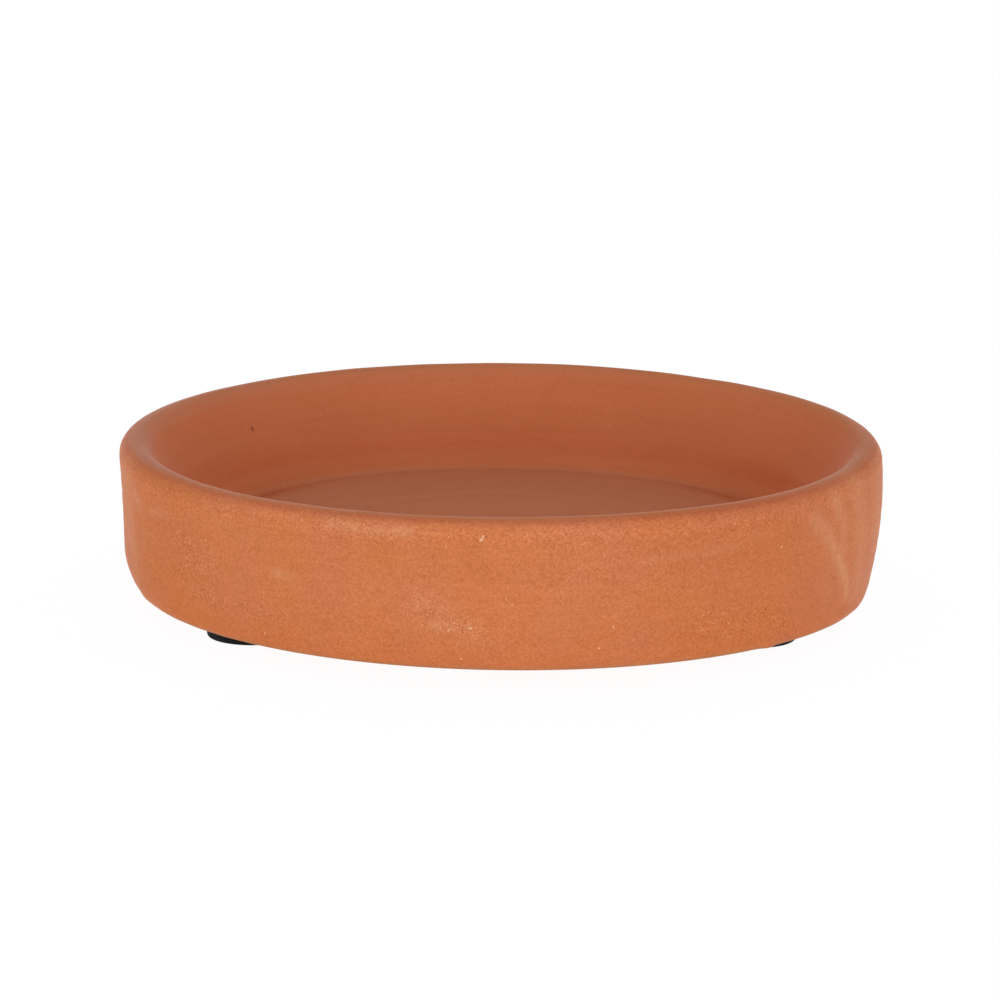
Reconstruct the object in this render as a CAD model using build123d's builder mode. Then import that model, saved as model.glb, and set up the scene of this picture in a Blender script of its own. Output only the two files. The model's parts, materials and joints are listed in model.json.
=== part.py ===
from build123d import *
from math import cos, radians, sin, tan
import os

# Round terracotta plant saucer on three stick-on foot pads.
# The origin is on the saucer's axis, level with the undersides of the pads. +Z is up and -Y is the front.
# Lengths are in millimetres and angles in degrees.

# Clay body, outside
saucer_diameter = 160.0
saucer_height = 31.6  # the clay alone, without the pads
wall_draft = 2.5  # lean of the outer wall, inwards towards the base
base_corner_rounding = 5.0

# Clay body, lip: an outer and an inner rounding that meet along its crown
lip_outer_rounding = 3.4
lip_inner_rounding = 3.0

# Clay body, inside
floor_thickness = 11.0
inner_wall_lean = 29.5  # from the upright, outwards towards the lip
bevel_width = 3.2  # sloping band between the inner wall and the floor
bevel_height = 3.2
wall_foot_rounding = 5.0
groove_width = 1.3  # ring turned into the floor at the foot of the bevel
groove_depth = 0.4

# Foot pads, and the adhesive film that holds each one to the clay
pad_diameter = 18.0
pad_thickness = 4.4
pad_lower_edge_rounding = 0.6
pad_upper_edge_rounding = 0.2
pad_inset = 5.2  # from the edge of the flat underside to the circle round the pads
adhesive_thickness = 0.2
adhesive_inset = 0.3  # from the pad's edge to the film's edge
pad_places = ["back", "left", "right"]
first_pad_angle = 91.7  # the back pad, from +X towards +Y

# Values that follow from the sizes above. Heights of the clay are from its own underside.
full_turn = 360.0
quarter_turn = full_turn / 4
stand_height = pad_thickness + adhesive_thickness
outer_slope = radians(wall_draft)
inner_slope = radians(inner_wall_lean)

# The outer wall runs from the lip's outer rounding down to a corner on the underside
crown_radius = saucer_diameter / 2 - lip_outer_rounding
wall_top_radius = crown_radius + lip_outer_rounding * cos(outer_slope)
wall_top_height = saucer_height - lip_outer_rounding * (1 + sin(outer_slope))
base_corner_radius = wall_top_radius - wall_top_height * tan(outer_slope)

# The inner wall runs from the lip's inner rounding down to the bevel round the floor
inner_wall_top_radius = crown_radius - lip_inner_rounding * cos(inner_slope)
inner_wall_top_height = saucer_height - lip_inner_rounding * (1 - sin(inner_slope))
wall_foot_height = floor_thickness + bevel_height
wall_foot_radius = inner_wall_top_radius - (inner_wall_top_height - wall_foot_height) * tan(inner_slope)
floor_radius = wall_foot_radius - bevel_width

# The groove is cut by a ring of this section, sunk below the floor by its depth
groove_arc_radius = (groove_width**2 / 4 + groove_depth**2) / (2 * groove_depth)
groove_centre = (floor_radius - groove_width / 2, floor_thickness + groove_arc_radius - groove_depth)

# The base rounding leaves a flat underside, and the pads stand inside its edge
underside_radius = base_corner_radius - base_corner_rounding * (1 - sin(outer_slope)) / cos(outer_slope)
pad_circle_radius = underside_radius - pad_inset - pad_diameter / 2

os.makedirs("parts", exist_ok=True)

# Clay body: half a section, with its lowest line on top of the adhesive films, turned about the axis
section_plane = Plane.XZ.shift_origin((0, 0, stand_height))
with BuildPart() as saucer:
    with BuildSketch(section_plane):
        with BuildLine():
            outer_lip = CenterArc(
                center=(crown_radius, saucer_height - lip_outer_rounding),
                radius=lip_outer_rounding,
                start_angle=-wall_draft,
                arc_size=quarter_turn + wall_draft,
            )
            inner_lip = CenterArc(
                center=(crown_radius, saucer_height - lip_inner_rounding),
                radius=lip_inner_rounding,
                start_angle=quarter_turn,
                arc_size=quarter_turn - inner_wall_lean,
            )
            FilletPolyline(
                inner_lip @ 1,
                (wall_foot_radius, wall_foot_height),
                (floor_radius, floor_thickness),
                (0, floor_thickness),
                radius=[wall_foot_rounding, 0],
            )
            Line((0, floor_thickness), (0, 0))
            FilletPolyline(
                (0, 0),
                (base_corner_radius, 0),
                outer_lip @ 0,
                radius=[base_corner_rounding],
            )
        make_face()
    revolve(axis=Axis.Z)
    with BuildSketch(section_plane):
        with Locations(groove_centre):
            Circle(groove_arc_radius)
    revolve(axis=Axis.Z, mode=Mode.SUBTRACT)

saucer.part.label = "saucer"
export_step(saucer.part, "parts/saucer.step")

# Foot pads: soft discs with a rounded lower edge, each on its own film of adhesive
film_plane = Plane.XY.offset(pad_thickness)
for number, place in enumerate(pad_places):
    pad_angle = first_pad_angle + number * full_turn / len(pad_places)

    with BuildPart() as foot_pad:
        with BuildSketch():
            with PolarLocations(pad_circle_radius, 1, start_angle=pad_angle):
                Circle(pad_diameter / 2)
        extrude(amount=pad_thickness)
        lower_edge, upper_edge = foot_pad.edges().filter_by(GeomType.CIRCLE).sort_by(Axis.Z)
        fillet(lower_edge, radius=pad_lower_edge_rounding)
        fillet(upper_edge, radius=pad_upper_edge_rounding)

    foot_pad.part.label = f"foot_pad_{place}"
    export_step(foot_pad.part, f"parts/foot_pad_{place}.step")

    with BuildPart() as pad_adhesive:
        with BuildSketch(film_plane):
            with PolarLocations(pad_circle_radius, 1, start_angle=pad_angle):
                Circle(pad_diameter / 2 - adhesive_inset)
        extrude(amount=adhesive_thickness)

    pad_adhesive.part.label = f"pad_adhesive_{place}"
    export_step(pad_adhesive.part, f"parts/pad_adhesive_{place}.step")
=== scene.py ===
from collections import namedtuple
import json
from math import cos, inf, pi, radians, sin, tan, tau

import bpy
import numpy as np
from mathutils import Matrix, Vector


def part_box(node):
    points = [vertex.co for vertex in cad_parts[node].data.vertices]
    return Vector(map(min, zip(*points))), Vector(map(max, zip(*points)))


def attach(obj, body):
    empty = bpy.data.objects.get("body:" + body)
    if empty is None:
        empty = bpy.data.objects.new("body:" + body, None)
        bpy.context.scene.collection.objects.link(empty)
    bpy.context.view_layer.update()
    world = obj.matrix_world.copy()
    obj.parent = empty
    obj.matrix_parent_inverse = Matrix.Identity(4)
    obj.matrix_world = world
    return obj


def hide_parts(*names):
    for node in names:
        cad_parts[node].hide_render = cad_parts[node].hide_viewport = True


# The looks of a terracotta plant saucer on three stick-on foot pads, and the studio round it.
# Lengths are in millimetres until they reach Blender, which takes metres. +Z is up, -Y is the front.
# Angles round the saucer are in degrees from the front, and grow towards +X.

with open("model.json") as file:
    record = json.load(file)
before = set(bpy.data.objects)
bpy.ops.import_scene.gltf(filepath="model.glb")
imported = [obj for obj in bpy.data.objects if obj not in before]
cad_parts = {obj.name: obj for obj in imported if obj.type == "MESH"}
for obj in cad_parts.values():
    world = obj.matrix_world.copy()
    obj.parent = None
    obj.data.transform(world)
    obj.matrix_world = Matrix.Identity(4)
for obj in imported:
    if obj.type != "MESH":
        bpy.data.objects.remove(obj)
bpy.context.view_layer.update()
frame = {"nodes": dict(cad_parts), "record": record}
mm = 0.001

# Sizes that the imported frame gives
clay_low, clay_high = [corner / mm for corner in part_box("saucer")]
stand_height = clay_low.z
clay_height = clay_high.z - clay_low.z
rim_radius = (clay_high.x - clay_low.x) / 2
mount_place = {mount["name"]: Vector(mount["pos_m"]) / mm for mount in frame["record"]["mounts"]}
floor_thickness = mount_place["pot_seat"].z - stand_height

# Section of the clay, as in the solid
lip_outer_rounding = 3.4
lip_inner_rounding = 3.0
inner_wall_lean = 29.5
bevel_width = 3.2
bevel_height = 3.2
wall_foot_rounding = 5.0
crown_radius = rim_radius - lip_outer_rounding
wall_top_height = clay_height - lip_outer_rounding

# The groove is wider and shallower than in the solid, and the corner between bevel and floor is soft
groove_width = 2.2
groove_depth = 0.15
foot_softness = 1.5  # how far the corner is rounded off
foot_softness_reach = 5.0

# Handmade unevenness. Three values are for the left side, the front and back, and the right side.
foot_loss = (0.18, 1.46, 3.45)  # how much smaller the wall is at its foot than at the lip
wall_bow = (-0.38, 0.4, 1.17)  # outwards, half way up the wall
corner_width = (3.85, 2.15, 0.66)
corner_height = (8.9, 5.36, 1.66)
corner_share = (0.914, 1.93, 1.1)  # of a quarter ellipse, at most 1, so that only the left has a crisp edge
rim_tilt = 0.0049  # rise towards the right
rim_sag_of_two = 0.088  # the rim sinks between two places, and between four
rim_sag_of_four = 0.095
out_of_round_of_two = -0.07
out_of_round_of_four = -0.087
rim_drop_in_front = 0.3
rim_shift = (0.071, -0.088)  # off the axis, to the right and the back
foot_shift = (0.987, 0.217)

# Relief, as waves: their seed, their height, how many go round the ring at most, and the shortest and the
# longest one along the section
Waves = namedtuple("Waves", "seed height cycles shortest longest")
wobble = Waves(1, 0.05, 9, 25, 70)
turning_rings = Waves(2, 0.012, 1, 1.8, 4.5)
turning_marks = Waves(3, 0.012, 26, 2.5, 7.0)
floor_rings = Waves(4, 0.02, 1, 3.0, 9.0)
lip_waves = Waves(5, 0.018, 40, 12, 40)
foot_waves = Waves(6, 0.03, 70, 6, 14)
underside_rings = Waves(7, 0.008, 2, 3.0, 8.0)
pad_waves = Waves(20, 0.03, 14, 3, 9)
waves_in_a_field = 24
calm_radius = 25.0  # inside it the relief fades towards the axis
lip_wave_reach = 5.0
foot_wave_band = (1.0, 2.5)  # middle and half width, in height
underside_edge = (0.02, 0.4)  # heights between which the underside becomes the wall
dents = (  # degrees from the front, height, radius and depth, which is negative for a bump
    (-7.0, 11.0, 5.0, 0.07),
    (34.0, 12.0, 8.0, 0.06),
    (44.1, 0.8, 2.0, -0.48),
    (-49.0, 17.0, 7.0, 0.07),
    (112.0, 9.0, 6.0, 0.09),
    (171.0, 18.0, 9.0, 0.08),
    (-134.0, 12.0, 7.0, 0.08),
)

# Pale marks on the outer wall, as places in degrees from the front and heights, then width and strength
haze_and_sheen_strokes = (
    (((52.9, 25.2), (55.0, 22.9), (58.0, 18.1)), 2.1, 0.55),
    (((58.0, 18.1), (62.2, 11.7), (64.4, 7.0)), 2.0, 0.72),
    (((58.6, 28.2), (60.3, 24.2), (61.2, 19.4), (60.7, 15.3)), 2.2, 0.46),
    (((66.0, 28.0), (68.8, 14.0), (68.5, 7.0)), 4.6, 0.4),
    (((55.5, 17.0), (57.0, 6.0)), 3.0, 0.11),
    (((65.8, 30.0), (66.8, 24.0)), 1.7, 0.3),
    # This stroke and the next, at the sides where the wall is seen edge-on from the front, are partly haze
    # and partly painted sheen
    (((76.0, 24.0), (77.5, 14.0)), 4.2, 0.2),
    (((-76.0, 26.0), (-73.0, 8.0)), 4.0, 0.2),
    (((-71.0, 24.2), (-69.0, 22.0)), 1.6, 0.35),
    (((-64.0, 22.2), (-58.2, 22.8)), 1.0, 0.25),
    (((-25.0, 28.7), (-19.5, 28.3), (-13.0, 28.4)), 1.1, 0.42),
    (((-34.4, 16.9), (-31.6, 16.5)), 1.1, 0.4),
    (((20.7, 22.5), (36.5, 23.2)), 0.9, 0.18),
    (((-11.5, 13.6), (-8.0, 11.0), (-4.5, 8.6)), 2.8, 0.22),
    (((-10.0, 9.8), (-6.3, 9.2)), 1.4, 0.4),
    (((118.0, 24.0), (131.0, 12.0), (137.0, 7.0)), 2.4, 0.42),
    (((160.0, 27.5), (178.0, 26.5)), 1.2, 0.35),
    (((-171.0, 16.0), (-158.0, 12.0)), 2.6, 0.3),
    (((-121.0, 26.0), (-113.0, 18.0), (-111.0, 9.0)), 2.3, 0.4),
)
# Sandier places, in the same form
speckled_strokes = (
    (((-51.4, 8.8), (-48.2, 8.2), (-44.4, 8.3)), 1.3, 1.0),
    (((-54.0, 12.5), (-46.0, 17.0)), 2.6, 0.6),
    (((-41.0, 9.2), (-36.5, 8.7), (-34.2, 7.6)), 1.6, 0.55),
    (((-11.5, 13.6), (-7.0, 10.5), (-3.0, 8.6)), 2.8, 0.8),
    (((-10.5, 9.8), (-6.2, 9.4)), 1.6, 1.0),
    (((-55.0, 19.5), (-50.0, 13.7)), 3.5, 0.8),
    (((-25.0, 28.9), (-13.0, 28.4)), 1.3, 0.8),
    (((8.0, 22.0), (28.0, 20.0)), 5.0, 0.2),
    (((30.0, 8.0), (46.0, 6.0)), 3.0, 0.6),
    (((96.0, 12.0), (125.0, 10.0)), 4.0, 0.9),
    (((165.0, 9.0), (196.0, 12.0)), 3.5, 0.9),
    (((-150.0, 20.0), (-120.0, 22.0)), 3.5, 0.8),
)
# Single chips, flecks and pits, and painted shadow beside a chip: degrees from the front, height, whether
# inside, and radius
pale_spots = (
    (-2.17, 28.05, 0, 0.3),
    (-2.3, 27.72, 0, 0.2),
    (-2.46, 27.38, 0, 0.3),
    (-4.1, 9.2, 0, 0.2),
    (-3.8, 9.25, 0, 0.2),
    (-3.5, 9.3, 0, 0.15),
    (-7.1, 8.6, 0, 0.18),
    (-6.3, 10.0, 0, 0.17),
    (-11.0, 9.5, 0, 0.15),
    (1.1, 15.3, 0, 0.16),
    (2.0, 14.3, 0, 0.13),
    (-36.7, 3.65, 0, 0.17),
    (-69.2, 23.0, 0, 0.2),
    (-48.0, 20.5, 0, 0.16),
    (-53.2, 13.7, 0, 0.13),
    (15.7, 21.2, 0, 0.16),
    (16.9, 9.0, 0, 0.2),
    (14.8, 4.9, 0, 0.18),
    (-5.3, 2.7, 0, 0.2),
    (45.2, 21.4, 0, 0.2),
    (36.0, 28.0, 0, 0.15),
    (73.5, 20.5, 0, 0.16),
    (142.0, 21.0, 0, 0.4),
    (-100.0, 14.0, 0, 0.3),
    (-163.0, 8.0, 0, 0.3),
)
dark_spots = (
    (-129.6, 22.7, 1, 0.5),
    # The next two are painted shadow beside the chip at about -2.3 degrees
    (-1.82, 28.1, 0, 0.13),
    (-2.4, 26.9, 0, 0.13),
    (1.0, 29.3, 0, 0.12),
    (1.7, 29.4, 0, 0.11),
    (6.4, 29.2, 0, 0.15),
    (-9.4, 29.0, 0, 0.12),
    (-61.0, 26.5, 0, 0.18),
    (104.0, 22.0, 0, 0.4),
    (42.0, 21.0, 1, 0.4),
)

# A dustier patch on the floor of the dish, so far to the right of the axis and behind it
floor_patch = (-38.0, 31.0)
floor_patch_radius = 11.0

# Foot pads
pad_places = ("back", "left", "right")
pad_lower_rounding = 0.6
pad_upper_rounding = 0.2
pad_bulge = 0.12
pad_bulge_power = 8  # how closely the bulge keeps to the pad's side
pad_turn_steps = 120
pad_disc_steps = 10
pad_lower_steps = 8
pad_side_steps = 14
pad_upper_steps = 5

# Colours, as linear red, green and blue
clay_orange = (0.608, 0.190, 0.067)
clay_pink = (0.597, 0.186, 0.078)
clay_inside = (0.585, 0.164, 0.065)
crown_dust = (0.55, 0.21, 0.13)
floor_dust = (0.58, 0.207, 0.105)
haze_and_sheen_colour = (0.69, 0.32, 0.165)
pale_sand = (0.80, 0.355, 0.17)
pale_colour = (0.85, 0.50, 0.31)
dark_sand = (0.33, 0.07, 0.018)
pit_and_shadow_colour = (0.28, 0.07, 0.03)
rubber_black = (0.006, 0.006, 0.0065)
rubber_grey = (0.011, 0.011, 0.012)
rubber_dust = (0.035, 0.028, 0.024)
adhesive_dark = (0.035, 0.031, 0.028)
adhesive_cloud = (0.06, 0.055, 0.05)

# Bands round the clay, and what each one multiplies the colour by. middle and width place it along the
# section, and turn and turn_width keep it to a part of the ring. A width is to one side of the middle.
# Some bands are painted light, shade and sheen, each marked below
Band = namedtuple("Band", "tint middle width turn turn_width", defaults=(0, inf, 0, inf))

# Bands by distance from the crown of the lip
lip_line = Band((0.95, 0.81, 0.86), -2.0, 0.75)
# Painted shade: the lip's crown evenly darker at the sides and the back, which tones down its sheen
painted_shade_crown = Band((0.91, 0.91, 0.91), 0.5, 2.5)
# Painted shade: the lip darker and redder at the right, which tones down its sheen there
painted_shade_right_lip = Band((0.93, 0.84, 0.77), 2.0, 4.0, 88, 14)
# Painted light: the rounding just under the lip lighter and paler at the front
painted_light_shoulder = Band((1.13, 1.13, 1.26), -3.9, 1.7, 5, 46)
left_shoulder = Band((0.98, 0.93, 0.87), -5.0, 3.0, -75, 25)
upper_inside = Band((1.03, 1.08, 1.11), 8.0, 5.0, 180, 48)

# Bands of the outer wall, by height
# Painted shade: the outer wall darker and more orange towards the bottom
painted_shade_low_wall = Band((0.96, 0.93, 0.84), 0, 7.0)
# Painted sheen: a pale, bluish line along the bottom edge of the wall
painted_sheen_base_edge = Band((0.84, 1.15, 1.45), 0.4, 0.5)
right_wall = Band((0.95, 0.92, 0.93), turn=50, turn_width=28)
right_front = Band((1.0, 0.98, 0.86), turn=36, turn_width=13)
left_front = Band((1.0, 0.96, 0.82), turn=-60, turn_width=9)

# Bands by distance from the middle of the groove
dish_foot = Band((0.98, 0.90, 0.86), -7.0, 2.6)
# Painted light: the bevel a little lighter
painted_light_bevel = Band((1.02, 1.03, 1.02), -2.8, 1.5)
# Painted shade on the bevel, towards the sides
painted_shade_bevel_sides = Band((0.94, 0.94, 0.93), -2.4, 2.0)
# Painted shade in and along the groove, strongest at the sides
painted_shade_groove = Band((0.91, 0.89, 0.92), 0, 1.8)
# Painted shade: darker and redder on the floor by the dish's foot, at either side
painted_shade_foot_ends = Band((0.86, 0.74, 0.68), 0.6, 2.2)
red_foot = Band((0.95, 0.86, 0.84), -7.0, 3.5, 118, 14)
floor_rim = Band((1.05, 1.09, 1.05), 5.5, 4.0)

front_cosines = (0.3, 0.7)  # cosines of the turn, between which the crown's band ends in front
foot_end_turn = 125  # where the line at the foot of the dish ends, on either side
foot_end_width = 15
groove_front_share = 0.3  # how much of the groove's band shows at the front and the back

# Places of the dust and the grain, by distance from the crown of the lip or from the groove's middle
crown_dust_start = (-2.0, -0.8)
crown_dust_end = (3.2, 5.6)
under_lip_band = (-5.2, 2.6)  # middle and half width
clean_end_band = (0.6, 2.6)
clean_end_cosine = 0.2  # half width, as a cosine of the turn
clean_end_share = 0.9  # of the floor's dust, which is missing there
dusty_bevel_share = 0.35  # how far up the bevel the floor's dust reaches

# How strongly each kind of variation shows, as a share
dust_share = 0.6
crown_dust_shares = (  # degrees from the front, and how much of the dust lies on the lip's crown there
    (-110, 0.85), (-90, 0.9), (-60, 0.7), (-30, 0.4), (0, 0.26), (30, 0.28), (48, 0.32),
    (60, 0.44), (75, 0.26), (85, 0.08), (100, 0.06), (130, 0.16), (180, 0.3),
)
dust_patch_shares = (0.45, 1.0)  # of the crown's dust, in its thinnest and its thickest patches
floor_dust_share = 0.72
floor_streak_shares = (0.6, 1.0)
floor_patch_share = 0.35
tint_streak_shares = (0.6, 1.0)
frayed_shares = (0.35, 1.0)
veil_share = 0.06
pale_share = 0.75
pit_and_shadow_share = 0.75
smooth_share = 0.64  # how much of the grain is missing inside the dish and along the lip
rubber_dust_share = 0.25

# Sand and flecks, which lie in cells. Two shares are for the plain wall and the speckled places, or for
# the thinnest and the densest clusters.
pale_sand_shares = (0.62, 1.0)
dark_sand_shares = (0.65, 0.85)
sand_cell_shares = (0.07, 0.18)
fleck_cell_shares = (0.01, 0.05)
speckled_sand_share = 0.65  # of the cells, besides those of the clusters
speckled_fleck_share = 0.11
under_lip_speckled_share = 0.4
grain_cell = 0.28
pale_sand_cell = 0.5
dark_sand_cell = 0.65
fleck_cell = 1.1
sand_radius = 0.2
smallest_sand_share = 0.5  # of that radius
sand_core_share = 0.4  # of a grain, which is in full colour
faintest_sand_share = 0.35
spot_edge_shares = (0.6, 1.3)  # of a spot's radius, between which it fades
ragged_reach = 0.16  # how far its edge strays

# How much more grain there is in speckled places, under the lip and on the floor
speckled_grain = 0.9
under_lip_grain = 0.4
floor_grain = 1.5

# Kinds of noise: size of the features in millimetres, finer detail, and the values that become 0 and 1
Noise = namedtuple("Noise", "size detail low high roughness", defaults=(3.0, 0.35, 0.65, 0.5))
hue_patches = Noise(15.0)
large_patches = Noise(26.0, detail=2.0)
turning_streaks = Noise(1.9, roughness=0.6)
short_streaks = Noise(1.1, detail=2.0)
mottling = Noise(3.0)
fine_grain = Noise(0.7, detail=1.0)
frayed_edges = Noise(1.8, 5.0, 0.3, 0.62, 0.65)
tint_streaks = Noise(2.5)
dust_patches = Noise(4.0, low=0.25, high=0.6)
floor_streaks = Noise(4.5, low=0.2, high=0.7)
veil_streaks = Noise(6.0, 4.0, 0.5, 0.75)
ragged_edges = Noise(0.4, detail=2.0)
sand_clusters = Noise(6.0, low=0.42, high=0.68)
grain_bumps = Noise(0.3, low=0, high=1)
streak_bumps = Noise(0.7, low=0, high=1)
clay_gloss = Noise(4.0)
rubber_patches = Noise(3.0)
rubber_dusting = Noise(1.4, 4.0, 0.5, 0.8)
rubber_bumps = Noise(0.22, low=0, high=1)
rubber_gloss = Noise(1.1)
film_clouds = Noise(0.8)
long_stretch = (0.035, 0.035, 1.0)  # what draws noise out into long streaks, and into short ones
short_stretch = (0.2, 0.2, 1.0)

# How much patches, streaks, mottling and grain change the clay's colour, up or down
large_patch_change = 0.02
turning_streak_change = 0.02
short_streak_change = 0.015
mottling_change = 0.018
fine_grain_change = 0.038
cell_change = 0.105
channel_scales = (0.75, 1.2, 1.7)  # how much red, green and blue vary with them

# Relief too fine for the mesh
grain_bump_height = 0.02
streak_bump_height = 0.014
fleck_height = 0.015
pit_depth = 0.1
rubber_bump_height = 0.02
film_bump_height = 0.01

# Gloss
clay_roughness = (0.82, 0.94)
rubber_roughness = (0.62, 0.85)
film_roughness = (0.3, 0.5)
matt_specular = 0.12
sheen_of_wall = 0.2
sheen_roughness = 0.25

# Studio
studio_reach = 4000.0
floor_colour = 0.8
floor_glow = 0.38
floor_shadow_share = 0.08
floor_light_share = 0.55  # of the light that a white floor would send back
round_light = 0.9
front_light = 1.3
back_light = 1.0
top_light = 0.63
round_light_power = 3.0  # the higher, the nearer a light keeps to the horizon or to the zenith
sided_light_power = 2.0
top_light_power = 4.0

# Camera, at the photo's viewing angle
camera_pitch = 12.756
camera_roll = 0.718
camera_distance = 1280.0
camera_lens = 218.93
camera_sensor_width = 36.0
camera_shift = (0.00074, 0.00834)

# Layout of the clay's baked colours
layout_gap = 1.5
base_layout_share = 0.8  # how large the underside is laid out, since it shows least

# Steps of the clay's mesh
turn_steps = 420
underside_steps = 26
corner_steps = 20
outer_wall_steps = 56
lip_steps = 26
inner_wall_steps = 36
foot_steps = 12
bevel_steps = 8
groove_steps = 8
floor_steps = 42
crown_step = underside_steps + corner_steps + outer_wall_steps + lip_steps // 2
bevel_step = crown_step + lip_steps // 2 + inner_wall_steps + foot_steps
groove_end_step = bevel_step + bevel_steps + groove_steps

least_length = 1e-6  # stands in for a length of zero that something is divided by


def spread(start, end, steps):
    """Evenly spaced values from start, which is left out, to end."""
    return np.linspace(start, end, steps + 1)[1:]


def arc(centre, radius, start, end, steps):
    """Points on an arc between two angles in degrees, as radius and height."""
    angles = np.radians(spread(start, end, steps))
    return centre[0] + radius * np.cos(angles), centre[1] + radius * np.sin(angles)


def straight(start, end, steps):
    return spread(start[0], end[0], steps), spread(start[1], end[1], steps)


def inner_section():
    """The fixed part of the section, from the crown of the lip down to the middle of the floor."""
    lean = radians(inner_wall_lean)
    wall_top = (
        crown_radius - lip_inner_rounding * cos(lean),
        clay_height - lip_inner_rounding * (1 - sin(lean)),
    )
    foot_height = floor_thickness + bevel_height
    foot_radius = wall_top[0] - (wall_top[1] - foot_height) * tan(lean)
    floor_radius = foot_radius - bevel_width
    bevel_slope = np.degrees(np.arctan2(bevel_height, bevel_width))

    # The rounding between the wall and the bevel touches both of them
    turn = radians(90 - inner_wall_lean - bevel_slope)
    reach = wall_foot_rounding * tan(turn / 2)
    rounding_start = (foot_radius + reach * sin(lean), foot_height + reach * cos(lean))
    rounding_end = (
        foot_radius - reach * cos(radians(bevel_slope)),
        foot_height - reach * sin(radians(bevel_slope)),
    )
    rounding_centre = (
        rounding_start[0] - wall_foot_rounding * cos(lean),
        rounding_start[1] + wall_foot_rounding * sin(lean),
    )

    # The groove is an arc sunk below the floor
    groove_rounding = (groove_width**2 / 4 + groove_depth**2) / (2 * groove_depth)
    groove_centre = (floor_radius - groove_width / 2, floor_thickness + groove_rounding - groove_depth)
    groove_half_angle = np.degrees(np.arcsin(groove_width / 2 / groove_rounding))

    pieces = [
        arc(
            (crown_radius, clay_height - lip_inner_rounding), lip_inner_rounding,
            90, 180 - inner_wall_lean, lip_steps // 2,
        ),
        straight(wall_top, rounding_start, inner_wall_steps),
        arc(rounding_centre, wall_foot_rounding, -inner_wall_lean, bevel_slope - 90, foot_steps),
        straight(rounding_end, (floor_radius, floor_thickness), bevel_steps),
        arc(
            groove_centre, groove_rounding,
            groove_half_angle - 90, -groove_half_angle - 90, groove_steps,
        ),
        straight((floor_radius - groove_width, floor_thickness), (0, floor_thickness), floor_steps),
    ]
    radii, heights = [np.concatenate([piece[axis] for piece in pieces]) for axis in (0, 1)]
    weights = near(radii[:, None] - radii, 0, foot_softness) * np.abs(np.gradient(radii))
    softened = weights @ heights / weights.sum(axis=1)
    return radii, heights + near(radii, floor_radius, foot_softness_reach) * (softened - heights)


def between(values, turn):
    """A value at an angle in radians from the front, from its values at the left, front and right."""
    left, front, right = values
    side = left + (right - left) * (1 + sin(turn)) / 2
    return front * cos(turn)**2 + side * sin(turn)**2


def outer_section(turn):
    """The outside of the section, from the middle of the underside to the crown of the lip."""
    loss, bow, width, height = [
        between(values, turn) for values in (foot_loss, wall_bow, corner_width, corner_height)
    ]
    share = min(between(corner_share, turn), 1)

    def wall_radius(heights):
        fall = 1 - heights / wall_top_height
        return rim_radius - loss * fall + bow * 4 * fall * (1 - fall)

    corner_heights = spread(0, height, corner_steps)
    depth = share * (1 - corner_heights / height)
    rounding = (1 - np.sqrt(1 - depth**2)) / (1 - np.sqrt(1 - share**2))
    corner_radii = wall_radius(corner_heights) - width * rounding
    wall_heights = spread(height, wall_top_height, outer_wall_steps)
    lip = arc((crown_radius, wall_top_height), lip_outer_rounding, 0, 90, lip_steps // 2)
    underside_radii = spread(0, wall_radius(0) - width, underside_steps)
    radii = [[0], underside_radii, corner_radii, wall_radius(wall_heights), lip[0]]
    heights = [[0], 0 * underside_radii, corner_heights, wall_heights, lip[1]]
    return np.concatenate(radii), np.concatenate(heights)


def clay_points():
    """Grid of places on the clay, [turn, step along the section, XYZ], heights from its own underside,
    and the distance along the section of each."""
    inner_radii, inner_heights = inner_section()
    grid, runs = [], []
    for number in range(turn_steps):
        turn = tau * number / turn_steps
        radii, heights = outer_section(turn)
        radii = np.concatenate([radii, inner_radii])
        heights = np.concatenate([heights, inner_heights])
        distances = np.concatenate([[0], np.cumsum(np.hypot(np.diff(radii), np.diff(heights)))])
        runs.append(distances - distances[crown_step])
        rise = heights / clay_height
        swelling = out_of_round_of_two * cos(2 * turn) + out_of_round_of_four * cos(4 * turn)
        radii = radii * (1 + swelling / rim_radius)
        x, y = radii * sin(turn), -radii * cos(turn)
        sag = rim_sag_of_two * (1 - cos(2 * turn)) + rim_sag_of_four * (1 - cos(4 * turn))
        sag += rim_drop_in_front * ((1 + cos(turn)) / 2) ** 2
        heights = heights + rise * (rim_tilt * x - sag * np.minimum(radii / crown_radius, 1) ** 2)
        x += rim_shift[0] + (foot_shift[0] - rim_shift[0]) * (1 - rise)
        y += rim_shift[1] + (foot_shift[1] - rim_shift[1]) * (1 - rise)
        grid.append(np.stack([x, y, heights], axis=-1))
    return np.array(grid), np.array(runs)


def waves(kind, turns, runs):
    """A smooth random field round the ring, mostly within the height of its kind."""
    draws = np.random.default_rng(kind.seed)
    field = np.zeros(runs.shape)
    for _ in range(waves_in_a_field):
        around = draws.integers(0, kind.cycles + 1)
        along = tau / draws.uniform(kind.shortest, kind.longest) * draws.choice((-1, 1))
        field += np.cos(around * turns + along * runs + draws.uniform(0, tau))
    return kind.height * field / np.sqrt(waves_in_a_field)


def near(values, centre, width):
    """1 at a value, falling to 0 over about a width on either side."""
    return np.exp(-((values - centre) / width) ** 2)


def rising(values, start, end):
    """0 before start, 1 after end, and smooth between them."""
    share = np.clip((values - start) / (end - start), 0, 1)
    return share * share * (3 - 2 * share)


def falling(values, start, end):
    """1 before start, 0 after end, and smooth between them."""
    return rising(-values, -end, -start)


def wrapped(angles):
    """Angles in radians, within half a turn of 0."""
    return (angles + pi) % tau - pi


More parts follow.
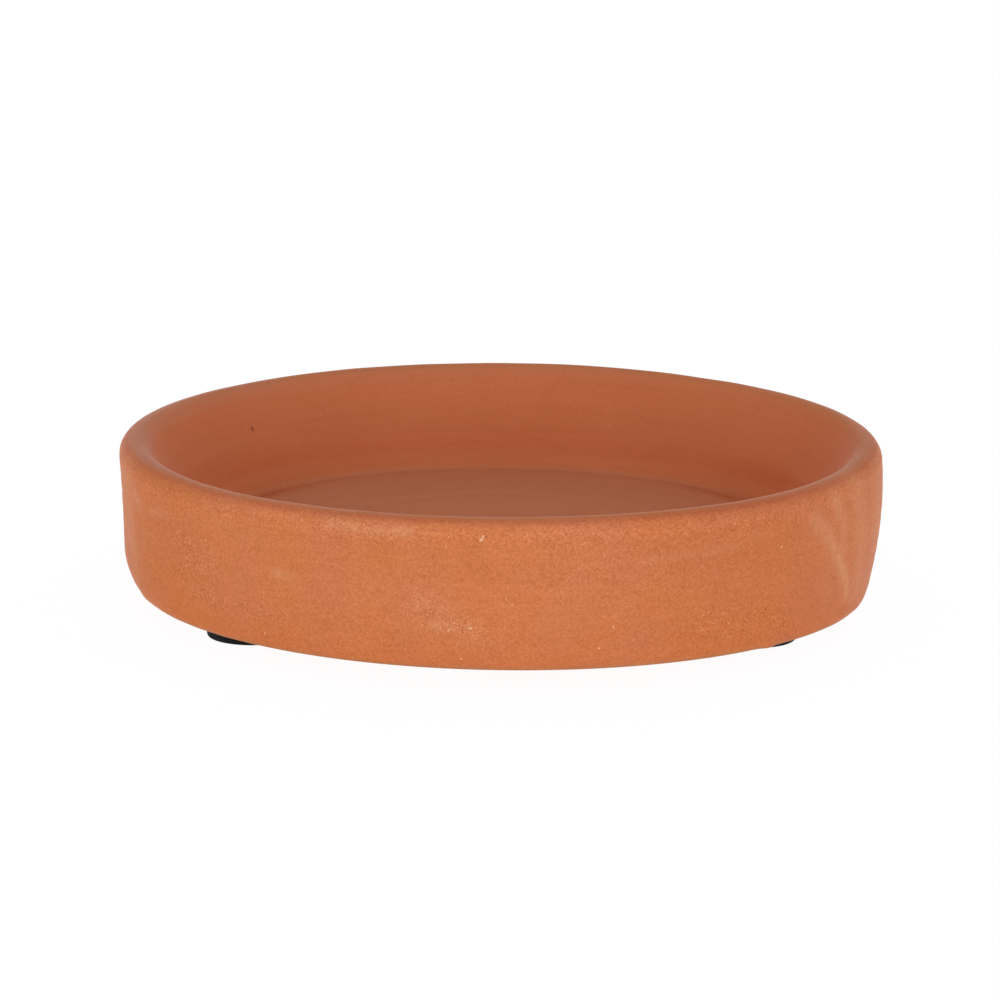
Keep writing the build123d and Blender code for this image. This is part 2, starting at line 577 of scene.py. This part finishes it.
def wall_distance(turns, heights, points):
    """Distance on the unrolled wall from a line through points given in degrees and heights."""
    nearest = np.full(heights.shape, np.inf)
    for first, second in zip(points, points[1:] or points):
        across = wrapped(turns - radians(first[0])) * rim_radius
        upwards = heights - first[1]
        line = (radians(second[0] - first[0]) * rim_radius, second[1] - first[1])
        squared_length = max(line[0] ** 2 + line[1] ** 2, least_length)
        share = np.clip((across * line[0] + upwards * line[1]) / squared_length, 0, 1)
        nearest = np.minimum(nearest, np.hypot(across - share * line[0], upwards - share * line[1]))
    return nearest


def strokes(turns, heights, marks):
    """Strength of the marks at each place of the outer wall."""
    field = np.zeros(heights.shape)
    for points, width, strength in marks:
        field = np.maximum(field, strength * near(wall_distance(turns, heights, points), 0, width))
    return field


def clay_relief(turns, runs, radii, heights, outside):
    """How far each place stands out along its normal."""
    from_middle = np.clip(radii / calm_radius, 0, 1)
    relief = waves(wobble, turns, runs) * from_middle
    relief += waves(turning_rings, turns, runs) * from_middle
    relief += waves(turning_marks, turns, runs) * from_middle
    floor = (1 - outside) * falling(heights, floor_thickness, floor_thickness + bevel_height)
    relief += waves(floor_rings, turns, runs) * floor * from_middle
    relief += waves(lip_waves, turns, runs) * near(runs, 0, lip_wave_reach)
    underside = outside * falling(heights, *underside_edge)
    foot = outside * near(heights, *foot_wave_band) * (1 - underside)
    relief += waves(foot_waves, turns, runs) * foot
    for place, height, radius, depth in dents:
        relief -= depth * outside * near(wall_distance(turns, heights, ((place, height),)), 0, radius)
    flat = waves(underside_rings, turns, runs) * from_middle
    return relief * (1 - underside) + flat * underside


def clay_tint(turns, runs, from_groove, heights, outside):
    """What the colour of each place is multiplied by: bands of colour, and bands of painted light, shade and
    sheen.
    """
    inside = 1 - outside
    sides = np.sin(turns) ** 2
    foot_ends = near(np.abs(wrapped(turns)), radians(foot_end_turn), radians(foot_end_width))
    shown_bands = (
        (lip_line, runs, 1),
        (painted_shade_crown, runs, falling(np.cos(turns), *front_cosines)),
        (painted_shade_right_lip, runs, 1),
        (painted_light_shoulder, runs, 1),
        (left_shoulder, runs, 1),
        (upper_inside, runs, inside),
        (painted_shade_low_wall, heights, outside),
        (painted_sheen_base_edge, heights, outside),
        (right_wall, heights, outside),
        (right_front, heights, outside),
        (left_front, heights, outside),
        (dish_foot, from_groove, inside),
        (painted_light_bevel, from_groove, inside),
        (painted_shade_bevel_sides, from_groove, inside * sides),
        (painted_shade_groove, from_groove, inside * (groove_front_share + (1 - groove_front_share) * sides)),
        (painted_shade_foot_ends, from_groove, inside * foot_ends),
        (red_foot, from_groove, inside),
        (floor_rim, from_groove, inside * (1 - foot_ends)),
    )
    tint = np.ones((*runs.shape, 3))
    for band, distances, share in shown_bands:
        share = share * near(distances, band.middle, band.width)
        share = share * near(wrapped(turns - radians(band.turn)), 0, radians(band.turn_width))
        tint *= 1 + share[..., None] * (np.array(band.tint) - 1)
    return tint


def clay_values(grid, turns, runs, heights, outside):
    """Numbers for each place on the clay, which its material reads."""
    from_groove = runs - runs[:, bevel_step + bevel_steps + groove_steps // 2].mean()
    inside = rising(runs, 0, 2 * lip_inner_rounding)
    crown = rising(runs, *crown_dust_start) * falling(runs, *crown_dust_end)
    crown_share = np.interp(np.degrees(turns), *np.array(crown_dust_shares).T, period=360)
    speckled = outside * strokes(turns, heights, speckled_strokes)
    under_lip = near(runs, *under_lip_band)
    dust_top = floor_thickness + dusty_bevel_share * bevel_height
    floor = (1 - outside) * falling(heights, floor_thickness, dust_top)
    foot_ends = near(np.cos(turns), cos(radians(foot_end_turn)), clean_end_cosine)
    floor *= 1 - clean_end_share * near(from_groove, *clean_end_band) * foot_ends
    from_patch = np.hypot(grid[..., 0] - floor_patch[0], grid[..., 1] - floor_patch[1])
    extra_grain = speckled_grain * speckled + under_lip_grain * under_lip + floor_grain * floor
    return {
        "run": runs,
        "grain": (1 - smooth_share * np.maximum(inside, crown)) * (1 + extra_grain),
        "haze_and_sheen": outside * strokes(turns, heights, haze_and_sheen_strokes),
        "speckled": np.maximum(speckled, under_lip_speckled_share * under_lip),
        "inside": inside,
        "dusty": crown * crown_share,
        "floor": floor * (1 + floor_patch_share * near(from_patch, 0, floor_patch_radius)),
        "tint": clay_tint(turns, runs, from_groove, heights, outside),
    }


def grid_normals(grid):
    """Unit normals of a closed ring of sections, pointing out of the clay."""
    round_the_ring = np.roll(grid, -1, axis=0) - np.roll(grid, 1, axis=0)
    along_the_section = np.gradient(grid, axis=1)
    normals = np.cross(round_the_ring, along_the_section)
    lengths = np.linalg.norm(normals, axis=-1, keepdims=True)
    return normals / np.maximum(lengths, least_length)


def ring_mesh(name, grid, values=None):
    """Mesh of a ring of sections that start and end on the axis. values are fields of numbers, by name."""
    turns, steps = grid.shape[:2]
    middle = grid[:, 1:-1].reshape(-1, 3)
    vertices = np.concatenate([middle, grid[:1, 0], grid[:1, -1]]) * mm
    numbers = np.arange(turns * (steps - 2)).reshape(turns, steps - 2)
    following = np.roll(numbers, -1, axis=0)
    quads = np.stack([numbers[:, :-1], following[:, :-1], following[:, 1:], numbers[:, 1:]], axis=-1)
    first, last = numbers.size, numbers.size + 1
    faces = quads.reshape(-1, 4).tolist()
    fans = ((first, following[:, 0], numbers[:, 0]), (last, numbers[:, -1], following[:, -1]))
    for centre, one_side, other_side in fans:
        faces += [(centre, *corners) for corners in zip(one_side.tolist(), other_side.tolist())]
    mesh = bpy.data.meshes.new(name)
    mesh.from_pydata(vertices.tolist(), [], faces)
    mesh.shade_smooth()
    for label, field in (values or {}).items():
        kind, entry = ("FLOAT_VECTOR", "vector") if field.ndim == 3 else ("FLOAT", "value")
        attribute = mesh.attributes.new(label, kind, "POINT")
        middle = field[:, 1:-1].reshape(-1, *field.shape[2:])
        kept = np.concatenate([middle, field[:1, 0], field[:1, -1]])
        attribute.data.foreach_set(entry, kept.astype(np.float32).ravel())
    return mesh


def bake_layout(mesh, grid, runs):
    """A flat layout of the clay's surface for its baked colours: the two discs, and above them the outer
    and the inner strip, each in two rows."""
    turns, steps = grid.shape[:2]
    gap = layout_gap
    along = runs.mean(axis=0)
    row_width = pi * rim_radius
    outer_height = along[crown_step] - along[underside_steps] + gap
    inner_height = along[groove_end_step] - along[crown_step] + gap
    disc_radius = np.hypot(*grid[0, groove_end_step, :2]) + gap
    underside_radii = np.hypot(grid[..., underside_steps, 0], grid[..., underside_steps, 1])
    base_radius = base_layout_share * underside_radii.max() + gap
    strips_start = gap + 2 * max(disc_radius, base_radius)
    side = max(
        strips_start + 2 * (outer_height + inner_height),
        row_width + 2 * gap,
        2 * (disc_radius + base_radius),
    )

    def corner_places(turn_numbers, step_numbers, turn_offset, step_offset):
        """Places of one corner of each face, from the numbers of its first corner."""
        row = turn_numbers // (turns // 2)
        part = np.searchsorted([underside_steps, crown_step, groove_end_step], step_numbers, side="right")
        turn_numbers = turn_numbers + turn_offset
        step_numbers = step_numbers + step_offset
        x, y = np.moveaxis(grid[turn_numbers % turns, step_numbers, :2], -1, 0)
        across = gap + row_width * (turn_numbers * 2 / turns - row)
        up = along[step_numbers]
        outer_start = strips_start + row * outer_height
        inner_start = strips_start + 2 * outer_height + row * inner_height
        outer = np.stack([across, outer_start + up - along[underside_steps]], axis=-1)
        inner = np.stack([across, inner_start + up - along[crown_step]], axis=-1)
        base = np.stack([base_layout_share * x + base_radius, base_layout_share * y + base_radius], axis=-1)
        floor = np.stack([x + disc_radius + 2 * base_radius, y + disc_radius], axis=-1)
        return np.choose(part[..., None], [base, outer, inner, floor]) / side

    turn_numbers, step_numbers = np.meshgrid(np.arange(turns), np.arange(1, steps - 2), indexing="ij")
    quads = [
        corner_places(turn_numbers, step_numbers, *offset) for offset in ((0, 0), (1, 0), (1, 1), (0, 1))
    ]
    ring = np.arange(turns)
    first = np.zeros(turns, int)
    last = np.full(turns, steps - 2)
    fans = [
        np.stack([corner_places(ring, first, *offset) for offset in ((0, 0), (1, 1), (0, 1))], axis=1),
        np.stack([corner_places(ring, last, *offset) for offset in ((0, 1), (0, 0), (1, 0))], axis=1),
    ]
    places = [np.stack(quads, axis=2).reshape(-1, 2)] + [fan.reshape(-1, 2) for fan in fans]
    layer = mesh.uv_layers.new(name="OFBake")
    layer.data.foreach_set("uv", np.concatenate(places).astype(np.float32).ravel())


def pad_points(node_name, kind_of_waves):
    """Grid of places on a foot pad: flat below and above, with a rounded edge and a slight bulge."""
    low, high = [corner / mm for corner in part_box(node_name)]
    centre = (low + high) / 2
    radius = (high.x - low.x) / 2
    thickness = high.z - low.z
    lower_radius = radius - pad_lower_rounding
    upper_radius = radius - pad_upper_rounding
    upper_height = thickness - pad_upper_rounding
    pieces = [
        straight((0, 0), (lower_radius, 0), pad_disc_steps),
        arc((lower_radius, pad_lower_rounding), pad_lower_rounding, -90, 0, pad_lower_steps),
        straight((radius, pad_lower_rounding), (radius, upper_height), pad_side_steps),
        arc((upper_radius, upper_height), pad_upper_rounding, 0, 90, pad_upper_steps),
        straight((upper_radius, thickness), (0, thickness), pad_disc_steps),
    ]
    radii = np.concatenate([[0]] + [piece[0] for piece in pieces])
    heights = np.concatenate([[0]] + [piece[1] for piece in pieces])
    turns = tau * np.arange(pad_turn_steps)[:, None] / pad_turn_steps
    levels = np.broadcast_to(heights, (pad_turn_steps, heights.size))
    swelling = pad_bulge + waves(kind_of_waves, turns, levels)
    radii = radii + swelling * np.sin(pi * heights / thickness) * (radii / radius) ** pad_bulge_power
    x = centre.x + radii * np.sin(turns)
    y = centre.y - radii * np.cos(turns)
    return np.stack([x, y, np.broadcast_to(low.z + heights, x.shape)], axis=-1)


def add_object(name, data):
    made = bpy.data.objects.new(name, data)
    bpy.context.scene.collection.objects.link(made)
    return made


# Shader nodes
def add_node(tree, kind, inputs=None, **settings):
    """Adds a node. An input is a value, or the output socket that feeds it."""
    node = tree.nodes.new(kind)
    for name, value in settings.items():
        setattr(node, name, value)
    for name, value in (inputs or {}).items():
        if isinstance(value, bpy.types.NodeSocket):
            tree.links.new(value, node.inputs[name])
        else:
            node.inputs[name].default_value = value
    return node


def new_material(name):
    material = bpy.data.materials.new(name)
    material.use_nodes = True
    material.node_tree.nodes.clear()
    return material, material.node_tree


def calculate(tree, operation, *values):
    """The result of a Math node. A value is a number, or the output socket that feeds it."""
    return add_node(tree, "ShaderNodeMath", dict(enumerate(values)), operation=operation).outputs[0]


def multiply_add(tree, value, factor, added):
    return calculate(tree, "MULTIPLY_ADD", value, factor, added)


def product(tree, *values):
    """The product of any number of values."""
    result = values[0]
    for value in values[1:]:
        result = calculate(tree, "MULTIPLY", result, value)
    return result


def ramp(tree, value, start, end, first=0.0, last=1.0):
    """A value that goes from first to last while another goes from start to end."""
    inputs = {"Value": value, "From Min": start, "From Max": end, "To Min": first, "To Max": last}
    return add_node(tree, "ShaderNodeMapRange", inputs).outputs["Result"]


def ranged(tree, share, limits):
    """A value that goes from one limit to the other while a share goes from 0 to 1."""
    return ramp(tree, share, 0, 1, *limits)


def noise(tree, place, kind):
    """Noise from 0 to 1 of one of the kinds above. It is cut off under low and over high."""
    inputs = {"Vector": place, "Scale": 1 / kind.size, "Detail": kind.detail, "Roughness": kind.roughness}
    return ramp(tree, add_node(tree, "ShaderNodeTexNoise", inputs).outputs["Fac"], kind.low, kind.high)


def blend(tree, share, first, second, kind="MIX"):
    """Two colours mixed. A colour is a socket, or three numbers."""
    node = add_node(tree, "ShaderNodeMix", data_type="RGBA", blend_type=kind)
    for number, value in ((0, share), (6, first), (7, second)):
        if isinstance(value, bpy.types.NodeSocket):
            tree.links.new(value, node.inputs[number])
        else:
            node.inputs[number].default_value = (*value, 1) if isinstance(value, tuple) else value
    return node.outputs[2]


def scale_vector(tree, vector, factors):
    return add_node(tree, "ShaderNodeVectorMath", {0: vector, 1: factors}, operation="MULTIPLY").outputs[0]


def mesh_value(tree, name, output="Fac"):
    return add_node(tree, "ShaderNodeAttribute", attribute_name=name).outputs[output]


def object_place(tree):
    """The place on the object, in millimetres."""
    return scale_vector(tree, add_node(tree, "ShaderNodeTexCoord").outputs["Object"], (1 / mm,) * 3)


def cells_of_size(tree, place, size):
    """Cells of a size in millimetres: the distance from the middle, and three random numbers, of each."""
    cells = add_node(tree, "ShaderNodeTexVoronoi", {"Vector": place, "Scale": 1 / size})
    numbers = add_node(tree, "ShaderNodeSeparateColor", {"Color": cells.outputs["Color"]}).outputs
    return cells.outputs["Distance"], numbers


def grains(tree, place, size, share):
    """Small round grains of sand: up to 1 in a grain and 0 elsewhere. A share of the cells hold one."""
    distance, (first, second, third) = cells_of_size(tree, place, size)
    held = calculate(tree, "LESS_THAN", first, share)
    largest = sand_radius / size
    reach = ranged(tree, second, (smallest_sand_share * largest, largest))
    disc = ramp(tree, calculate(tree, "DIVIDE", distance, reach), sand_core_share, 1.0, 1.0, 0.0)
    return product(tree, disc, held, ranged(tree, third, (faintest_sand_share, 1.0)))


def spots(tree, unrolled, ragged, marks):
    """Single spots at given places of the unrolled walls."""
    found = None
    for place, height, inside, radius in marks:
        centre = (radians(place) * rim_radius, height, inside * clay_height)
        inputs = {0: unrolled, 1: centre}
        away = add_node(tree, "ShaderNodeVectorMath", inputs, operation="DISTANCE").outputs["Value"]
        edge = [share * radius for share in spot_edge_shares]
        spot = ramp(tree, calculate(tree, "ADD", away, ragged), *edge, 1.0, 0.0)
        found = spot if found is None else calculate(tree, "MAXIMUM", found, spot)
    return found


def clay_shades(tree, place, long_places, short_places, grain):
    """What lighter and darker places, from large patches down to single grains, multiply the colour by."""
    _, (cell_shade, _, _) = cells_of_size(tree, place, grain_cell)
    shades = (
        (noise(tree, place, large_patches), large_patch_change, 1.0),
        (noise(tree, long_places, turning_streaks), turning_streak_change, 1.0),
        (noise(tree, short_places, short_streaks), short_streak_change, grain),
        (noise(tree, place, mottling), mottling_change, grain),
        (noise(tree, place, fine_grain), fine_grain_change, grain),
        (cell_shade, cell_change, grain),
    )
    change = 0.0
    for shade, strength, share in shades:
        change = multiply_add(tree, ranged(tree, shade, (-strength, strength)), share, change)
    factors = {axis: multiply_add(tree, change, scale, 1.0) for axis, scale in zip("XYZ", channel_scales)}
    return add_node(tree, "ShaderNodeCombineXYZ", factors).outputs["Vector"]


def unrolled_walls(tree, place, inside):
    """The place on the unrolled walls. The inner wall lies apart from the outer one."""
    x, y, z = add_node(tree, "ShaderNodeSeparateXYZ", {"Vector": place}).outputs
    turn = calculate(tree, "ARCTAN2", x, product(tree, y, -1.0))
    return add_node(tree, "ShaderNodeCombineXYZ", {
        "X": product(tree, turn, rim_radius),
        "Y": calculate(tree, "SUBTRACT", z, stand_height),
        "Z": product(tree, inside, clay_height),
    }).outputs["Vector"]


def add_shader(tree, bump_height, surface, inputs):
    """Adds the shader and the output. Where the surface is 1, it stands out by the bump's height."""
    heights = {"Strength": 1.0, "Distance": bump_height * mm, "Height": surface}
    bump = add_node(tree, "ShaderNodeBump", heights)
    shader = add_node(tree, "ShaderNodeBsdfPrincipled", {**inputs, "Normal": bump.outputs["Normal"]})
    add_node(tree, "ShaderNodeOutputMaterial", {"Surface": shader.outputs["BSDF"]})


def clay_material(name, sheen):
    """Fired clay: sandy grain, turning streaks, dust, lime haze, pale grains and pits, with painted light,
    shade and sheen in some bands, strokes and spots.
    """
    material, tree = new_material(name)
    place = object_place(tree)
    run, grain, haze_and_sheen, speckled, inside, dusty, floor = [
        mesh_value(tree, field) for field in ("run", "grain", "haze_and_sheen", "speckled", "inside", "dusty", "floor")
    ]

    # Places that noise draws out into turning streaks
    x, y, _ = add_node(tree, "ShaderNodeSeparateXYZ", {"Vector": place}).outputs
    streaked = add_node(tree, "ShaderNodeCombineXYZ", {"X": x, "Y": y, "Z": run}).outputs["Vector"]
    long_places = scale_vector(tree, streaked, long_stretch)
    short_places = scale_vector(tree, streaked, short_stretch)

    # The clay itself
    shades = clay_shades(tree, place, long_places, short_places, grain)
    colour = blend(tree, noise(tree, place, hue_patches), clay_orange, clay_pink)
    colour = blend(tree, inside, colour, clay_inside)
    colour = blend(tree, 1.0, colour, shades, "MULTIPLY")

    # Tinted bands, among them painted light, shade and sheen, dust on the lip's crown, and a greyer floor
    tinted = blend(tree, 1.0, colour, mesh_value(tree, "tint", "Vector"), "MULTIPLY")
    tint_share = ranged(tree, noise(tree, short_places, tint_streaks), tint_streak_shares)
    colour = blend(tree, tint_share, colour, tinted)
    patchy = ranged(tree, noise(tree, place, dust_patches), dust_patch_shares)
    colour = blend(tree, product(tree, dusty, patchy, dust_share), colour, crown_dust)
    settled = ranged(tree, noise(tree, long_places, floor_streaks), floor_streak_shares)
    colour = blend(tree, product(tree, floor, settled, floor_dust_share), colour, floor_dust)

    # Lime haze with frayed edges, and painted sheen in two of its strokes, at the sides
    veil = product(tree, noise(tree, long_places, veil_streaks), veil_share)
    frayed = ranged(tree, noise(tree, place, frayed_edges), frayed_shares)
    colour = blend(tree, multiply_add(tree, haze_and_sheen, frayed, veil), colour, haze_and_sheen_colour)

    # Pale and dark sand in clusters
    clustered = noise(tree, place, sand_clusters)
    sandy_cells = ranged(tree, clustered, sand_cell_shares)
    sandy_cells = multiply_add(tree, speckled, speckled_sand_share, sandy_cells)
    for cell_size, sand_shares, sand_colour in (
        (pale_sand_cell, pale_sand_shares, pale_sand),
        (dark_sand_cell, dark_sand_shares, dark_sand),
    ):
        found = grains(tree, place, cell_size, sandy_cells)
        sand = product(tree, found, ranged(tree, speckled, sand_shares), grain)
        colour = blend(tree, sand, colour, sand_colour)

    # Single pale grains and chips, pits, and painted shadow beside a chip
    unrolled = unrolled_walls(tree, place, inside)
    ragged = ranged(tree, noise(tree, place, ragged_edges), (-ragged_reach, ragged_reach))
    fleck_cells = ranged(tree, clustered, fleck_cell_shares)
    fleck_cells = multiply_add(tree, speckled, speckled_fleck_share, fleck_cells)
    flecks = product(tree, grains(tree, place, fleck_cell, fleck_cells), grain)
    flecks = calculate(tree, "MAXIMUM", flecks, spots(tree, unrolled, ragged, pale_spots))
    colour = blend(tree, product(tree, flecks, pale_share), colour, pale_colour)
    pits_and_shadows = spots(tree, unrolled, ragged, dark_spots)
    colour = blend(tree, product(tree, pits_and_shadows, pit_and_shadow_share), colour, pit_and_shadow_colour)

    # Relief, in millimetres
    surface = product(tree, noise(tree, place, grain_bumps), grain_bump_height)
    surface = multiply_add(tree, noise(tree, short_places, streak_bumps), streak_bump_height, surface)
    surface = product(tree, surface, grain)
    surface = multiply_add(tree, flecks, fleck_height, surface)
    surface = multiply_add(tree, pits_and_shadows, -pit_depth, surface)
    add_shader(tree, 1.0, surface, {
        "Base Color": colour,
        "Roughness": ranged(tree, noise(tree, place, clay_gloss), clay_roughness),
        "Specular IOR Level": matt_specular,
        "Sheen Weight": sheen,
        "Sheen Roughness": sheen_roughness,
    })
    return material


def rubber_material():
    """Black rubber, a little dusty, with a fine matt texture."""
    material, tree = new_material("pad_rubber")
    place = object_place(tree)
    dusty = product(tree, noise(tree, place, rubber_dusting), rubber_dust_share)
    colour = blend(tree, noise(tree, place, rubber_patches), rubber_black, rubber_grey)
    add_shader(tree, rubber_bump_height, noise(tree, place, rubber_bumps), {
        "Base Color": blend(tree, dusty, colour, rubber_dust),
        "Roughness": ranged(tree, noise(tree, place, rubber_gloss), rubber_roughness),
        "Specular IOR Level": matt_specular,
    })
    return material


def adhesive_material():
    """Dark clear adhesive, squeezed into a slightly cloudy film."""
    material, tree = new_material("adhesive")
    cloud = noise(tree, object_place(tree), film_clouds)
    add_shader(tree, film_bump_height, cloud, {
        "Base Color": blend(tree, cloud, adhesive_dark, adhesive_cloud),
        "Roughness": ranged(tree, cloud, film_roughness),
    })
    return material


def background_rays(tree):
    """1 for rays that see the studio itself, in the picture, in gloss or through glass."""
    path = add_node(tree, "ShaderNodeLightPath")
    seen = calculate(tree, "MAXIMUM", path.outputs["Is Camera Ray"], path.outputs["Is Glossy Ray"])
    return calculate(tree, "MAXIMUM", seen, path.outputs["Is Transmission Ray"])


def glowing_floor(tree, colour, strength):
    diffuse = add_node(tree, "ShaderNodeBsdfDiffuse", {"Color": (colour, colour, colour, 1)})
    glow = add_node(tree, "ShaderNodeEmission", {"Color": (1, 1, 1, 1), "Strength": strength})
    return add_node(tree, "ShaderNodeAddShader", {0: diffuse.outputs[0], 1: glow.outputs[0]}).outputs[0]


def soft_light(tree):
    """Strength of the light from each direction: most near the horizon, and more from the front."""
    direction = add_node(tree, "ShaderNodeTexCoord").outputs["Generated"]
    _, backward, upward = add_node(tree, "ShaderNodeSeparateXYZ", {"Vector": direction}).outputs
    from_front = calculate(tree, "MAXIMUM", product(tree, backward, -1.0), 0.0)
    from_back = calculate(tree, "MAXIMUM", backward, 0.0)
    from_above = calculate(tree, "MAXIMUM", upward, 0.0)
    level_share = calculate(tree, "SUBTRACT", 1.0, calculate(tree, "POWER", upward, 2.0))
    round_band = calculate(tree, "POWER", level_share, round_light_power)
    sided_band = calculate(tree, "POWER", level_share, sided_light_power)
    overhead = calculate(tree, "POWER", from_above, top_light_power)
    two_sided = multiply_add(tree, from_front, front_light, product(tree, from_back, back_light))
    strength = multiply_add(tree, sided_band, two_sided, product(tree, round_band, round_light))
    return multiply_add(tree, overhead, top_light, strength)


# The saucer
def make_saucer():
    grid, runs = clay_points()
    turns = np.broadcast_to(tau * np.arange(turn_steps)[:, None] / turn_steps, runs.shape)
    heights = grid[..., 2].copy()
    radii = np.hypot(grid[..., 0], grid[..., 1])
    outside = np.broadcast_to((np.arange(runs.shape[1]) <= crown_step).astype(float), runs.shape)
    relief = clay_relief(turns, runs, radii, heights, outside)
    grid += grid_normals(grid) * relief[..., None]
    grid[..., 2] += stand_height
    values = clay_values(grid, turns, runs, heights, outside)
    saucer = add_object("clay_saucer", ring_mesh("clay_saucer", grid, values))
    bake_layout(saucer.data, grid, runs)

    # The bevel, the groove and the floor have no sheen. The last faces are the fans round the axis
    saucer.data.materials.append(clay_material("terracotta", sheen_of_wall))
    saucer.data.materials.append(clay_material("terracotta_floor", 0.0))
    steps_of_faces = np.tile(np.arange(1, runs.shape[1] - 2), turn_steps)
    on_floor = np.concatenate([steps_of_faces >= bevel_step, np.zeros(turn_steps), np.ones(turn_steps)])
    saucer.data.polygons.foreach_set("material_index", on_floor.astype(np.int32))
    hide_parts("saucer")
    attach(saucer, "root")


def make_pads():
    rubber = rubber_material()
    for number, place in enumerate(pad_places):
        node_name = f"foot_pad_{place}"
        pad_name = f"rubber_pad_{place}"
        kind_of_waves = pad_waves._replace(seed=pad_waves.seed + number)
        pad = add_object(pad_name, ring_mesh(pad_name, pad_points(node_name, kind_of_waves)))
        pad.data.materials.append(rubber)
        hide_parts(node_name)
        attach(pad, "root")


def dress_films():
    """The adhesive films stay as the solids, with a material of their own."""
    adhesive = adhesive_material()
    for place in pad_places:
        node = frame["nodes"][f"pad_adhesive_{place}"]
        node.data.materials.clear()
        node.data.materials.append(adhesive)


# The studio: a pale floor that glows softly, under light that is brightest near the horizon
def make_studio_floor():
    corners = [(across, depth, 0) for across, depth in ((-1, -1), (1, -1), (1, 1), (-1, 1))]
    floor_mesh = bpy.data.meshes.new("studio_floor")
    floor_mesh.from_pydata([Vector(corner) * studio_reach * mm for corner in corners], [], [(0, 1, 2, 3)])
    studio_floor = add_object("studio_floor", floor_mesh)
    material, tree = new_material("studio_floor")
    lit = glowing_floor(tree, floor_colour, floor_glow)
    shown = glowing_floor(tree, floor_shadow_share, 1 - floor_shadow_share * floor_light_share)
    mix = add_node(tree, "ShaderNodeMixShader", {0: background_rays(tree), 1: lit, 2: shown})
    add_node(tree, "ShaderNodeOutputMaterial", {"Surface": mix.outputs[0]})
    floor_mesh.materials.append(material)


def make_world():
    world = bpy.data.worlds.new("studio")
    world.use_nodes = True
    bpy.context.scene.world = world
    tree = world.node_tree
    tree.nodes.clear()
    soft = add_node(tree, "ShaderNodeBackground", {"Color": (1, 1, 1, 1), "Strength": soft_light(tree)})
    white = add_node(tree, "ShaderNodeBackground", {"Color": (1, 1, 1, 1), "Strength": 1.0})
    shaders = {0: background_rays(tree), 1: soft.outputs[0], 2: white.outputs[0]}
    mix = add_node(tree, "ShaderNodeMixShader", shaders)
    add_node(tree, "ShaderNodeOutputWorld", {"Surface": mix.outputs[0]})


def make_camera():
    pitch = radians(camera_pitch)
    roll = radians(camera_roll)
    across = Vector((1, 0, 0))
    up = Vector((0, sin(pitch), cos(pitch)))
    back = Vector((0, -cos(pitch), sin(pitch)))
    camera_data = bpy.data.cameras.new("camera")
    camera_data.lens = camera_lens
    camera_data.sensor_width = camera_sensor_width
    camera_data.shift_x, camera_data.shift_y = camera_shift
    camera = add_object("camera", camera_data)
    rolled_across = cos(roll) * across + sin(roll) * up
    rolled_up = cos(roll) * up - sin(roll) * across
    aim = Vector((0, 0, stand_height + clay_height / 2))
    turned = Matrix((rolled_across, rolled_up, back)).transposed().to_4x4()
    camera.matrix_world = Matrix.Translation((aim + camera_distance * back) * mm) @ turned
    bpy.context.scene.camera = camera


make_saucer()
make_pads()
dress_films()
make_studio_floor()
make_world()
make_camera()
bpy.context.scene.view_settings.view_transform = "Standard"
